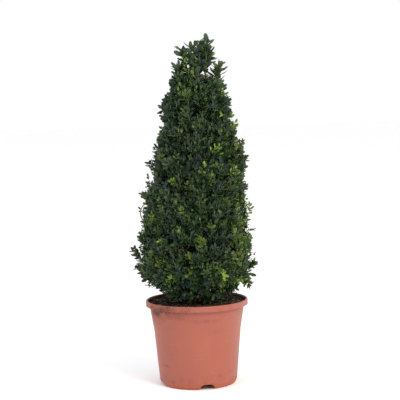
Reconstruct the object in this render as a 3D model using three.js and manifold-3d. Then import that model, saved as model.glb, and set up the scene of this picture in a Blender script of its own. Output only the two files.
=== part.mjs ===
// Boxwood clipped to a cone, growing in a round plastic nursery pot.
// Millimetres, +Z up, -Y the front. The origin is on the pot's axis, in the plane the pot stands on.
import * as THREE from "three";
import { mergeVertices } from "three/addons/utils/BufferGeometryUtils.js";
import Module from "manifold-3d";

const wasm = await Module();
wasm.setup();

// Pot: a moulded tub that steps out to a thick rim, with a foot ring, four drain arches and a flat
// centre foot.
const potHeight = 185.5;
const rimRadius = 112.7;
const collarRadius = 107;
const rimDepth = 12.5;
const rimRounding = 2.8;
const wallThickness = 1.8;
const neckRadius = 103.8;
const shoulderRadius = 95.2;
const shoulderHeight = 118;
const cornerRadius = 86;
const cornerHeight = 16;
const footRingRadius = 78;
const footRingWidth = 4;
const centreFootRadius = 38;
const baseLift = 12;
const potSegments = 30;
const archCount = 4;
const archWidth = 32.5;
const archHeight = 12;
const archTurn = THREE.MathUtils.degToRad(283.5);
const drainHoleRadius = 6;
const drainHoleRing = 56;

// Compost: fills the pot to just under its rim, flat where the trunk stands and lower at the wall.
const soilHeight = 180;
const soilEdgeHeight = 178.5;
const soilFlatRadius = 44;
const soilGap = 0.6;

// Trunk: one leader from the compost to just under the top leaves.
const trunkTop = 716;
const trunkLean = 15;
const trunkBow = 5;
const trunkFootRadius = 9.5;
const trunkTipRadius = 1.5;
const flareSize = 0.75;
const flareHeight = 16;
const flareLobes = 3;
const trunkSteps = 18;
const trunkSides = 10;

// Crown outline: radius against height, from the foot out to the belly and in again to the shoulder,
// its middle leaning to one side and the top rounded over.
const crownFoot = 190;
const crownFootRadius = 62;
const bellyHeight = 262;
const bellyRadius = 123;
const crownShoulder = 700;
const crownShoulderRadius = 41;
const crownBulge = 18;
const crownLean = 14;
const crownDome = 14;
const coreShare = 0.35;

// Unevenness of the clipped surface and of the borders between masses.
const relief = 4;
const borderRises = [4, 20, 20, 18, 7];
const borderTurn = 0.07;
const massGap = 2.4;
const massRoundness = 10;
const touchingGap = 0.35;
const leafyGap = 0.9;

// The tiers, from the bottom: their masses, how far each stands proud, and how the boughs leave the trunk.
const tiers = [
  {
    name: "skirt",
    top: 325,
    turn: 0.3,
    proud: [1, -2, 4, 2, -1, 2],
    steps: [5, 5, 2],
    boughFoot: 190,
    boughRadius: 5.2,
    entry: 0.42,
  },
  {
    name: "middle",
    top: 452,
    turn: 0.75,
    proud: [2, -3, 3, 2, -2, 0],
    steps: [5, 4, 2],
    boughFoot: 292,
    boughRadius: 3.8,
    entry: 0.48,
  },
  {
    name: "upper",
    top: 578,
    turn: -0.55,
    proud: [6, 1, -5, -1, 2],
    steps: [5, 4, 2],
    boughFoot: 424,
    boughRadius: 3,
    entry: 0.48,
  },
  {
    name: "head",
    top: 684,
    turn: 0.35,
    proud: [0, 2, -1],
    steps: [6, 4, 1],
    boughFoot: 556,
    boughRadius: 2.2,
    entry: 0.5,
  },
];

const boughSteps = 4;
const boughSides = 6;
const boughTaper = 0.55;
const boughStagger = 16;

// Tips: the separate leafy shoots that stand up out of the head, each from its foot to its point.
const tips = [
  { name: "tip_leader", foot: [28, 0, 664], point: [40, -2, 763], width: 13 },
  { name: "tip_left", foot: [-6, 5, 668], point: [-23, 3, 750], width: 12 },
  { name: "tip_inner_left", foot: [-2, -16, 668], point: [1, -17, 753], width: 12 },
  { name: "tip_middle", foot: [14, 6, 690], point: [17, 8, 747], width: 10 },
  { name: "tip_right", foot: [54, 5, 648], point: [61, 3, 710], width: 9 },
  { name: "tip_shoulder", foot: [-22, -4, 660], point: [-29, -6, 712], width: 9 },
  { name: "tip_back", foot: [20, 26, 664], point: [15, 33, 728], width: 12 },
  { name: "tip_front", foot: [14, -28, 660], point: [8, -36, 716], width: 11 },
];

// Stray shoots that leave the clipped outline, each from its foot inside it to its point.
const strays = [
  { name: "stray_left_long", foot: [-104, -6, 270], point: [-146, -10, 306], width: 8 },
  { name: "stray_left_low", foot: [-106, 14, 250], point: [-139, 18, 263], width: 6 },
  { name: "stray_left_middle", foot: [-104, -20, 312], point: [-129, -24, 341], width: 8 },
  { name: "stray_left_high", foot: [-78, 8, 462], point: [-100, 9, 496], width: 8 },
  { name: "stray_right_low", foot: [108, -12, 256], point: [133, -15, 276], width: 7 },
  { name: "stray_right_drooping", foot: [98, -16, 236], point: [121, -20, 206], width: 9 },
  { name: "stray_back", foot: [-14, 100, 290], point: [-19, 137, 334], width: 9 },
  { name: "stray_back_right", foot: [72, 66, 388], point: [95, 84, 424], width: 8 },
];

const plumeSteps = 5;
const plumeSides = 7;
const plumeUneven = 0.16;

const potMaterial = () =>
  new THREE.MeshStandardMaterial({ color: 0xc57362, roughness: 0.45, metalness: 0 });
const soilMaterial = () =>
  new THREE.MeshStandardMaterial({ color: 0x3a2c22, roughness: 0.95, metalness: 0 });
const barkMaterial = () =>
  new THREE.MeshStandardMaterial({ color: 0x8a7050, roughness: 0.85, metalness: 0 });
const leafMaterial = (color) =>
  new THREE.MeshStandardMaterial({ color, roughness: 0.5, metalness: 0 });

const { lerp, clamp, degToRad } = THREE.MathUtils;
const fullTurn = 2 * Math.PI;

// A closed mesh as a manifold-3d solid, its vertices merged.
function toSolid(geometry) {
  const bare = geometry.clone();
  bare.deleteAttribute("normal");
  bare.deleteAttribute("uv");
  const merged = mergeVertices(bare, 1e-3);
  const vertProperties = merged.attributes.position.array;
  const triVerts = new Uint32Array(merged.index.array);
  return new wasm.Manifold(new wasm.Mesh({ numProp: 3, vertProperties, triVerts }));
}

function toGeometry(solid) {
  const { vertProperties, triVerts } = solid.getMesh();
  const position = new THREE.BufferAttribute(vertProperties, 3);
  const index = new THREE.BufferAttribute(triVerts, 1);
  return new THREE.BufferGeometry().setAttribute("position", position).setIndex(index);
}

// The same solid with every vertex moved out along its normal, to leave room round a neighbour.
function swollen(solid, gap) {
  const geometry = toGeometry(solid);
  geometry.computeVertexNormals();
  const { position, normal } = geometry.attributes;
  const point = new THREE.Vector3();
  const outward = new THREE.Vector3();
  for (let i = 0; i < position.count; i++) {
    point.fromBufferAttribute(position, i);
    outward.fromBufferAttribute(normal, i);
    point.addScaledVector(outward, gap);
    position.setXYZ(i, ...point.toArray());
  }
  return toSolid(geometry);
}

// Whether the boxes round two solids come within a gap of each other.
function nearTo(a, b, gap) {
  const boxes = [a, b].map((solid) => solid.boundingBox());
  return [0, 1, 2].every(
    (i) => boxes[0].min[i] < boxes[1].max[i] + gap && boxes[1].min[i] < boxes[0].max[i] + gap,
  );
}

// The largest body left of a solid once its near neighbours, plain and a little swollen, are cut away.
function cutRound(solid, neighbours, gap) {
  let left = solid;
  for (const other of neighbours.filter((each) => nearTo(solid, each, gap))) {
    left = toSolid(toGeometry(left.subtract(other).subtract(swollen(other, gap))));
  }
  const bodies = left.decompose();
  return bodies.reduce((best, body) => (body.volume() > best.volume() ? body : best));
}

// A limb: rings of points carried along a curve, with radiusAt(t, angle) and a fan at each end.
function sweep(curve, steps, sides, radiusAt) {
  const frames = curve.computeFrenetFrames(steps, false);
  const points = [curve.getPointAt(0)];
  for (let i = 0; i <= steps; i++) {
    const centre = curve.getPointAt(i / steps);
    for (let j = 0; j < sides; j++) {
      const angle = (fullTurn * j) / sides;
      const radius = radiusAt(i / steps, angle);
      const point = centre.clone();
      point.addScaledVector(frames.normals[i], radius * Math.cos(angle));
      point.addScaledVector(frames.binormals[i], radius * Math.sin(angle));
      points.push(point);
    }
  }
  points.push(curve.getPointAt(1));
  const last = points.length - 1;
  const at = (i, j) => 1 + i * sides + (j % sides);
  const faces = [];
  for (let j = 0; j < sides; j++) {
    faces.push(0, at(0, j + 1), at(0, j));
    faces.push(last, at(steps, j), at(steps, j + 1));
    for (let i = 0; i < steps; i++) {
      faces.push(at(i, j), at(i, j + 1), at(i + 1, j));
      faces.push(at(i, j + 1), at(i + 1, j + 1), at(i + 1, j));
    }
  }
  return new THREE.BufferGeometry().setFromPoints(points).setIndex(faces);
}

// Smooth unevenness between -1 and 1 over the crown, different for each key.
function ripple(azimuth, height, key) {
  const broad = Math.sin(3 * azimuth + height / 47 + key);
  const middling = Math.sin(7 * azimuth - height / 23 + 2.3 * key);
  const fine = Math.sin(12 * azimuth + height / 12 + 4.1 * key);
  return 0.45 * broad + 0.33 * middling + 0.22 * fine;
}

// Outline of the crown: an easy curve from the foot to the belly, then a bulging slope to the shoulder.
function crownRadius(height) {
  if (height < bellyHeight) {
    const below = (bellyHeight - height) / (bellyHeight - crownFoot);
    return lerp(bellyRadius, crownFootRadius, Math.min(below * below, 1.2));
  }
  const up = (height - bellyHeight) / (crownShoulder - bellyHeight);
  return lerp(bellyRadius, crownShoulderRadius, up) + crownBulge * Math.sin(Math.PI * up);
}

// Height of the border below tier number `level`, round the crown.
function borderHeight(level, azimuth) {
  const mean = level === 0 ? crownFoot : tiers[level - 1].top;
  const swing = 0.6 * Math.sin(3 * azimuth + 1.9 * level) + 0.4 * Math.sin(5 * azimuth + level);
  return mean + borderRises[level] * swing;
}

// Azimuth of the border before mass number `index` of a tier, at a share `up` of the tier's height.
function borderAzimuth(level, index, up) {
  const { turn, proud } = tiers[level];
  const wrapped = index % proud.length;
  const sway = borderTurn * Math.sin(1.7 * Math.PI * up + 2.1 * wrapped + level);
  return turn + (fullTurn * index) / proud.length + sway;
}

function fromAxis(radius, azimuth, height) {
  return new THREE.Vector3(radius * Math.cos(azimuth), radius * Math.sin(azimuth), height);
}

// A place in a mass, with shares across its azimuths, up its heights and out from its inner face.
function placeInMass(level, index, across, up, out) {
  const middle = (borderAzimuth(level, index, up) + borderAzimuth(level, index + 1, up)) / 2;
  const roughHeight = lerp(borderHeight(level, middle), borderHeight(level + 1, middle), up);
  const roughRadius = crownRadius(roughHeight) * lerp(coreShare, 1, out);
  const inset = massGap / 2 / roughRadius;
  const start = borderAzimuth(level, index, up) + inset;
  const end = borderAzimuth(level, index + 1, up) - inset;
  const azimuth = lerp(start, end, across);
  const bottom = borderHeight(level, azimuth) + massGap / 2;
  const top = borderHeight(level + 1, azimuth) - massGap / 2;
  const height = lerp(bottom, top, up);
  const inner = coreShare * crownRadius(height) + relief * 0.5 * ripple(azimuth, height, level + 5);
  const proud = tiers[level].proud[index];
  const outer = crownRadius(height) + proud + relief * ripple(azimuth, height, index + 9 * level);
  const dome = level === tiers.length - 1 ? crownDome * (out * up) ** 2 : 0;
  const place = fromAxis(lerp(inner, outer, out), azimuth, height - dome);
  place.x += crownLean * Math.max(0, (height - bellyHeight) / (crownShoulder - bellyHeight));
  return place;
}

// A mass of foliage: a block with rounded corners, bent into its sector of its tier.
function massSolid(level, index) {
  const block = new THREE.BoxGeometry(2, 2, 2, ...tiers[level].steps);
  const { position } = block.attributes;
  const corner = new THREE.Vector3();
  for (let i = 0; i < position.count; i++) {
    corner.fromBufferAttribute(position, i);
    const powers = corner.toArray().map((side) => Math.abs(side) ** massRoundness);
    const size = (powers[0] + powers[1] + powers[2]) ** (1 / massRoundness);
    corner.divideScalar(size).addScalar(1).divideScalar(2);
    const place = placeInMass(level, index, corner.x, corner.y, corner.z);
    position.setXYZ(i, ...place.toArray());
  }
  return toSolid(block);
}

// The trunk's middle at a height: it rises straight from the compost, bows a little and leans.
function trunkMiddle(height) {
  const up = clamp((height - soilHeight) / (trunkTop - soilHeight), 0, 1);
  const bow = trunkBow * Math.sin(2 * Math.PI * up) * up;
  return new THREE.Vector3(trunkLean * up * up - bow, bow, height);
}

function trunkSolid() {
  const foot = soilHeight + touchingGap;
  const stations = [];
  for (let i = 0; i <= trunkSteps; i++) {
    stations.push(trunkMiddle(lerp(foot, trunkTop, i / trunkSteps)));
  }
  const middle = new THREE.CatmullRomCurve3(stations);
  const radiusAt = (t, angle) => {
    const plain = lerp(trunkFootRadius, trunkTipRadius, t ** 0.8);
    const flare = Math.exp((-t * (trunkTop - foot)) / flareHeight);
    return plain * (1 + flareSize * flare * (1 + 0.3 * Math.cos(flareLobes * angle)));
  };
  const geometry = sweep(middle, trunkSteps, trunkSides, radiusAt);
  const { position } = geometry.attributes;
  for (let i = 0; i <= trunkSides; i++) {
    position.setZ(i, foot);
  }
  return toSolid(geometry);
}

// A bough: a tapering limb that leaves the trunk steeply, bends outwards and ends at its mass.
function boughSolid(level, index, trunk, mass, earlier) {
  const { boughFoot, boughRadius, entry } = tiers[level];
  const start = trunkMiddle(boughFoot + (index % 3) * boughStagger);
  const end = placeInMass(level, index, 0.5, entry, 0.3);
  const bend = start.clone().lerp(end, 0.4);
  bend.z = lerp(start.z, end.z, 0.62);
  const curve = new THREE.QuadraticBezierCurve3(start, bend, end);
  const radiusAt = (t) => boughRadius * lerp(1, boughTaper, t);
  const limb = toSolid(sweep(curve, boughSteps, boughSides, radiusAt));
  return cutRound(limb, [trunk, mass, ...earlier], touchingGap);
}

// A leafy shoot: a slender body, pointed at its tip and uneven along it.
function plumeSolid(curve, width, key) {
  const radiusAt = (t, angle) => {
    const body = Math.sin(Math.PI * clamp(t, 0.03, 0.97) ** 0.8) ** 0.7;
    const uneven = plumeUneven * Math.sin(2 * angle + 9 * t + key);
    return width * body * (1 + uneven);
  };
  return toSolid(sweep(curve, plumeSteps, plumeSides, radiusAt));
}

// A stray shoot runs outwards first and turns up or down towards its point.
function straySolid(stray, key) {
  const foot = new THREE.Vector3(...stray.foot);
  const point = new THREE.Vector3(...stray.point);
  const knee = foot.clone().lerp(point, 0.6);
  knee.z = lerp(foot.z, point.z, 0.3);
  return plumeSolid(new THREE.QuadraticBezierCurve3(foot, knee, point), stray.width, key);
}

function tipSolid(tip, key) {
  const foot = new THREE.Vector3(...tip.foot);
  const point = new THREE.Vector3(...tip.point);
  const knee = foot.clone().lerp(point, 0.5);
  knee.x = lerp(foot.x, point.x, 0.3);
  return plumeSolid(new THREE.QuadraticBezierCurve3(foot, knee, point), tip.width, key);
}

// Outer radius of the pot's wall: nearly straight to the shoulder, then wider to the neck under the rim.
function wallRadius(height) {
  const neck = potHeight - rimDepth;
  if (height < shoulderHeight) {
    const up = (height - cornerHeight) / (shoulderHeight - cornerHeight);
    return lerp(cornerRadius, shoulderRadius, up);
  }
  return lerp(shoulderRadius, neckRadius, (height - shoulderHeight) / (neck - shoulderHeight));
}

// Points of a quarter circle from one direction to another, counted in quarter turns.
function quarter(x, y, radius, from, to, steps) {
  const points = [];
  for (let i = 0; i <= steps; i++) {
    const angle = (lerp(from, to, i / steps) * Math.PI) / 2;
    points.push(new THREE.Vector2(x + radius * Math.cos(angle), y + radius * Math.sin(angle)));
  }
  return points;
}

function lathe(profile) {
  const turned = new THREE.LatheGeometry(profile, potSegments);
  return turned.rotateX(Math.PI / 2);
}

// The pot's section, from the middle of its underside round the rim to the middle of its floor.
function potProfile() {
  const at = (x, y) => new THREE.Vector2(x, y);
  const skirtFoot = potHeight - rimDepth;
  const cornerRounding = cornerRadius - footRingRadius;
  const rimMiddle = rimRadius - rimRounding;
  const ledge = skirtFoot + wallThickness;
  const inside = (height) => wallRadius(height) - wallThickness;
  return [
    at(0, 0),
    at(centreFootRadius, 0),
    at(centreFootRadius + 2, baseLift),
    at(footRingRadius - footRingWidth, baseLift),
    at(footRingRadius - footRingWidth, 0),
    at(footRingRadius, 0),
    ...quarter(footRingRadius, cornerHeight, cornerRounding, -0.5, 0, 2),
    at(shoulderRadius, shoulderHeight),
    at(neckRadius, skirtFoot),
    at(rimRadius - 1, skirtFoot),
    at(rimRadius, skirtFoot + 1),
    ...quarter(rimMiddle, potHeight - rimRounding, rimRounding, 0, 1, 2),
    at(collarRadius + 1, potHeight),
    at(collarRadius, potHeight - 1),
    at(collarRadius, ledge),
    at(inside(skirtFoot) + 0.5, ledge),
    at(inside(skirtFoot), skirtFoot - 1),
    at(inside(shoulderHeight), shoulderHeight),
    at(inside(cornerHeight) - 0.5, cornerHeight + wallThickness),
    at(footRingRadius - footRingWidth, baseLift + wallThickness),
    at(centreFootRadius, baseLift + wallThickness),
    at(centreFootRadius - wallThickness, wallThickness),
    at(0, wallThickness),
  ];
}

// One drain arch as a cutter, lying along +X through the foot ring.
function archCutter() {
  const half = archWidth / 2;
  const outline = new THREE.Shape();
  outline.moveTo(-half, -1);
  outline.lineTo(half, -1);
  outline.lineTo(half * 0.85, archHeight * 0.55);
  outline.quadraticCurveTo(half * 0.6, archHeight, 0, archHeight);
  outline.quadraticCurveTo(-half * 0.6, archHeight, -half * 0.85, archHeight * 0.55);
  outline.closePath();
  const depth = cornerRadius - footRingRadius + 2 * footRingWidth + 6;
  const arch = new THREE.ExtrudeGeometry(outline, { depth, bevelEnabled: false, curveSegments: 3 });
  arch.rotateX(Math.PI / 2).rotateZ(Math.PI / 2);
  return arch.translate(footRingRadius - 2 * footRingWidth, 0, 0);
}

function potSolid() {
  let pot = toSolid(lathe(potProfile()));
  for (let i = 0; i < archCount; i++) {
    const turn = archTurn + (fullTurn * i) / archCount;
    pot = pot.subtract(toSolid(archCutter().rotateZ(turn)));
    const hole = new THREE.CylinderGeometry(drainHoleRadius, drainHoleRadius, 4 * baseLift, 10);
    hole.rotateX(Math.PI / 2).translate(drainHoleRing, 0, 0);
    pot = pot.subtract(toSolid(hole.rotateZ(turn + Math.PI / archCount)));
  }
  return pot;
}

function soilSolid() {
  const at = (x, y) => new THREE.Vector2(x, y);
  const floor = baseLift + wallThickness + soilGap;
  const neck = potHeight - rimDepth - 1;
  const ledge = neck + 1 + wallThickness + soilGap;
  const inside = (height) => wallRadius(height) - wallThickness - soilGap;
  const profile = [
    at(0, wallThickness + soilGap),
    at(centreFootRadius - wallThickness - soilGap, wallThickness + soilGap),
    at(centreFootRadius - soilGap, floor),
    at(footRingRadius - footRingWidth - 1, floor),
    at(inside(cornerHeight) - 1.5, cornerHeight + wallThickness + 1.5),
    at(inside(shoulderHeight), shoulderHeight),
    at(inside(neck), neck),
    at(inside(neck), ledge),
    at(collarRadius - soilGap, ledge),
    at(collarRadius - soilGap, soilEdgeHeight),
    at(soilFlatRadius, soilHeight),
    at(0, soilHeight),
  ];
  return toSolid(lathe(profile));
}

const plant = new THREE.Group();

function addNode(name, solid, material) {
  const mesh = new THREE.Mesh(toGeometry(solid), material);
  mesh.name = name;
  plant.add(mesh);
}

addNode("pot", potSolid(), potMaterial());
addNode("soil", soilSolid(), soilMaterial());

const trunk = trunkSolid();
addNode("trunk", trunk, barkMaterial());

// The masses, and a bough to each of them.
const masses = [];
const boughs = [];
tiers.forEach((tier, level) => {
  const shade = new THREE.Color(0x2f4029).lerp(new THREE.Color(0x55692f), level / tiers.length);
  tier.proud.forEach((_, index) => {
    const mass = massSolid(level, index);
    const bough = boughSolid(level, index, trunk, mass, boughs);
    masses.push(mass);
    boughs.push(bough);
    addNode(`foliage_${tier.name}_${index + 1}`, mass, leafMaterial(shade));
    addNode(`bough_${tier.name}_${index + 1}`, bough, barkMaterial());
  });
});

const shoots = [];
tips.forEach((tip, key) => {
  const neighbours = [trunk, ...masses, ...boughs, ...shoots];
  const shoot = cutRound(tipSolid(tip, key), neighbours, leafyGap);
  shoots.push(shoot);
  addNode(tip.name, shoot, leafMaterial(0x5d7433));
});
strays.forEach((stray, key) => {
  const shoot = cutRound(straySolid(stray, key), masses, leafyGap);
  addNode(stray.name, shoot, leafMaterial(0x6f8a34));
});

export default plant;
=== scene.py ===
# A boxwood clipped to a cone in its nursery pot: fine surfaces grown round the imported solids
import math
from functools import partial

import bpy
import numpy as np
from mathutils import Euler, Matrix, Vector


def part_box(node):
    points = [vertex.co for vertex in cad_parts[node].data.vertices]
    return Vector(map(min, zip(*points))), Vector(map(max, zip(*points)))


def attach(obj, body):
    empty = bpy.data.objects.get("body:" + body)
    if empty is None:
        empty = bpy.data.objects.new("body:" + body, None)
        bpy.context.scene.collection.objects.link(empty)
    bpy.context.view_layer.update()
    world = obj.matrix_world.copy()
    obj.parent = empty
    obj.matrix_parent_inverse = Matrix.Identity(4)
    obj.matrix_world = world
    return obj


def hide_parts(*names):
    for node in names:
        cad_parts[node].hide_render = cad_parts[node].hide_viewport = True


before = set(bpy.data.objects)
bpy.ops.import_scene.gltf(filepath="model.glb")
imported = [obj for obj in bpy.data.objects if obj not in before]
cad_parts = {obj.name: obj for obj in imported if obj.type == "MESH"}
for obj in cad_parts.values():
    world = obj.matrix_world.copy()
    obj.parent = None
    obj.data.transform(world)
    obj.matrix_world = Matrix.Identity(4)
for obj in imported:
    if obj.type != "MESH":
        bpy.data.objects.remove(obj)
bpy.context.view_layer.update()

mm = 0.001
upward = np.array([0.0, 0.0, 1.0])
random = np.random.default_rng(41)


def unit(v):
    # each vector divided by its own length
    return v / np.maximum(np.linalg.norm(v, axis=-1, keepdims=True), 1e-9)


def mix(a, b, share):
    # straight blend: a at share 0, b at share 1
    return a + (b - a) * share


def smoothField(points, wavelength, seed):
    # sum of eight sine waves in seeded directions, each near the wavelength; between about -1 and 1
    own = np.random.default_rng(seed)
    waves = unit(own.normal(size=(8, 3))) * (2 * math.pi / wavelength) * own.uniform(0.7, 1.4, (8, 1))
    return np.sin(points @ waves.T + own.uniform(0, 2 * math.pi, 8)).sum(-1) / 4


def makePiece(name, verts, quads, tris, materials, slots=None):
    # one mesh object at the origin: all its corners, then its four-sided faces, then its triangles, given as
    # whole arrays; slots gives each face's material
    quads = np.asarray(quads, np.int32).reshape(-1, 4)
    tris = np.asarray(tris, np.int32).reshape(-1, 3)
    verts = np.asarray(verts, np.float32).reshape(-1, 3)
    mesh = bpy.data.meshes.new(name)
    mesh.vertices.add(len(verts))
    mesh.vertices.foreach_set("co", verts.ravel())
    mesh.loops.add(quads.size + tris.size)
    mesh.loops.foreach_set("vertex_index", np.concatenate([quads.ravel(), tris.ravel()]))
    mesh.polygons.add(len(quads) + len(tris))
    starts = np.concatenate([np.arange(len(quads)) * 4, quads.size + np.arange(len(tris)) * 3])
    mesh.polygons.foreach_set("loop_start", starts.astype(np.int32))
    if slots is not None:
        mesh.polygons.foreach_set("material_index", np.asarray(slots, np.int32))
    mesh.update(calc_edges=True)
    mesh.shade_smooth()
    for material in materials:
        mesh.materials.append(material)
    piece = bpy.data.objects.new(name, mesh)
    bpy.context.scene.collection.objects.link(piece)
    return piece


def nodeMesh(node):
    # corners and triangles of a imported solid, each triangle as three corner numbers
    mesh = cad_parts[node].data
    mesh.calc_loop_triangles()
    verts = np.empty(len(mesh.vertices) * 3, np.float32)
    mesh.vertices.foreach_get("co", verts)
    tris = np.empty(len(mesh.loop_triangles) * 3, np.int32)
    mesh.loop_triangles.foreach_get("vertices", tris)
    return verts.reshape(-1, 3).astype(float), tris.reshape(-1, 3)


def bend(a, b, c, t):
    # quadratic curve from a to c pulled towards b: (1-t)^2 a + 2t(1-t) b + t^2 c
    t = np.asarray(t)[..., None]
    return (1 - t) ** 2 * a + 2 * t * (1 - t) * b + t**2 * c


def bendSlope(a, b, c, t):
    # direction of travel along that curve: (1-t) (b - a) + t (c - b), made one long
    t = np.asarray(t)[..., None]
    return unit((1 - t) * (b - a) + t * (c - b) + 1e-9)


def closedRings(rows, around):
    # faces of rows of points round an axis: a four-sided face between each two neighbours of two rows, and a
    # fan at each end to the two points that follow the rows
    i, j = np.meshgrid(np.arange(rows - 1), np.arange(around), indexing="ij")
    k = (j + 1) % around
    quads = np.stack([i * around + j, i * around + k, (i + 1) * around + k, (i + 1) * around + j], -1)
    j, k, last = j[0], k[0], (rows - 1) * around
    foot = np.stack([np.full(around, rows * around), k, j], -1)
    top = np.stack([np.full(around, rows * around + 1), last + j, last + k], -1)
    return quads.reshape(-1, 4), np.concatenate([foot, top])


def tubes(paths, radii, sides, relief=None):
    # rings carried along every path at once: point = path + r (cos t across + sin t third), where across and
    # third stand at right angles to the path and are carried from ring to ring, so that nothing twists
    count, rings = paths.shape[:2]
    along = unit(np.gradient(paths, axis=1))
    across = np.zeros_like(paths)
    first = np.where(np.abs(along[:, 0, 2:3]) > 0.9, [[1.0, 0, 0]], [[0, 0, 1.0]])
    previous = unit(first - (first * along[:, 0]).sum(-1, keepdims=True) * along[:, 0])
    for ring in range(rings):
        flat = previous - (previous * along[:, ring]).sum(-1, keepdims=True) * along[:, ring]
        previous = unit(flat)
        across[:, ring] = previous
    third = np.cross(along, across)
    angle = np.arange(sides) * 2 * math.pi / sides
    reach = radii[:, :, None] * np.ones(sides)
    if relief is not None:
        reach = reach * relief
    around = np.cos(angle)[:, None] * across[:, :, None] + np.sin(angle)[:, None] * third[:, :, None]
    skin = paths[:, :, None] + reach[..., None] * around
    ends = np.stack([paths[:, 0], paths[:, -1]], 1)
    verts = np.concatenate([skin.reshape(count, -1, 3), ends], 1)
    quads, tris = closedRings(rings, sides)
    step = np.arange(count)[:, None, None] * (rings * sides + 2)
    return verts.reshape(-1, 3), (quads + step).reshape(-1, 4), (tris + step).reshape(-1, 3)


def joinParts(parts):
    # several (corners, quads, triangles) as one, with the later corners' numbers moved up
    verts, quads, tris, base = [], [], [], 0
    for v, q, t in parts:
        verts.append(v)
        quads.append(q + base)
        tris.append(t + base)
        base += len(v)
    return np.concatenate(verts), np.concatenate(quads), np.concatenate(tris)


def keep(piece, slot, *nodes):
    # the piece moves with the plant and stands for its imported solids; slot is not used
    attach(piece, "root")
    if nodes:
        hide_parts(*nodes)
    return piece


def colour(code):
    # sRGB hex to linear light: each channel c becomes ((c + 0.055) / 1.055)^2.4, or c / 12.92 near black
    channels = [int(code[i : i + 2], 16) / 255 for i in (1, 3, 5)]
    return (*[c / 12.92 if c <= 0.04045 else ((c + 0.055) / 1.055) ** 2.4 for c in channels], 1.0)


def newMaterial(name, **values):
    # a Principled surface with its constant values on its own sockets
    material = bpy.data.materials.new(name)
    material.use_nodes = True
    shader = material.node_tree.nodes["Principled BSDF"]
    for socket, value in values.items():
        shader.inputs[socket].default_value = value
    material.diffuse_color = values.get("Base Color", (0.5, 0.5, 0.5, 1))
    return material, material.node_tree, shader


def addNode(tree, kind, inputs, output=0, **settings):
    # one node with its own settings; an input is a value or another node's output; gives one of its outputs
    node = tree.nodes.new("ShaderNode" + kind)
    for key, value in settings.items():
        setattr(node, key, value)
    for socket, value in inputs.items():
        if isinstance(value, bpy.types.NodeSocket):
            tree.links.new(value, node.inputs[socket])
        else:
            node.inputs[socket].default_value = value
    return node.outputs[output]


potFinish = {
    "body": "#9a564a",
    "warm": "#a05b4a",
    # each wash over them: its colour and the most of it that is laid on
    # a greyer pink on the +X side: painted sheen
    "faded": ("#9d675c", 0.7),
    "foot": ("#a8563c", 0.8),
    "flow": ("#a8563c", 0.35),
    # dirt, and painted shade under the rim
    "dirt": ("#4c3026", 0.8),
    # painted shade inside the collar
    "inside": ("#33231b", 0.8),
    "scuff": ("#b98573", 0.3),
    "speck": ("#3c2a24", 0.45),
    # centre, half size and strength of each stain, in metres
    "stains": [
        ((-0.076, -0.083, 0.174), (0.064, 0.066, 0.022), 1.3),
        ((-0.036, -0.107, 0.176), (0.040, 0.030, 0.010), 0.8),
        ((-0.092, -0.050, 0.160), (0.034, 0.056, 0.026), 0.7),
        ((-0.066, -0.059, 0.049), (0.030, 0.030, 0.003), 1.0),
        ((-0.036, -0.098, 0.158), (0.032, 0.030, 0.006), 0.45),
        ((0.020, -0.100, 0.152), (0.050, 0.030, 0.006), 0.3),
        ((0.048, -0.088, 0.128), (0.036, 0.030, 0.006), 0.2),
        ((0.046, -0.080, 0.029), (0.005, 0.020, 0.006), 0.4),
        ((0.010, 0.098, 0.150), (0.060, 0.030, 0.016), 0.5),
        ((-0.050, 0.080, 0.060), (0.040, 0.030, 0.010), 0.5),
        ((0.092, 0.020, 0.070), (0.020, 0.034, 0.012), 0.45),
    ],
}


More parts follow.
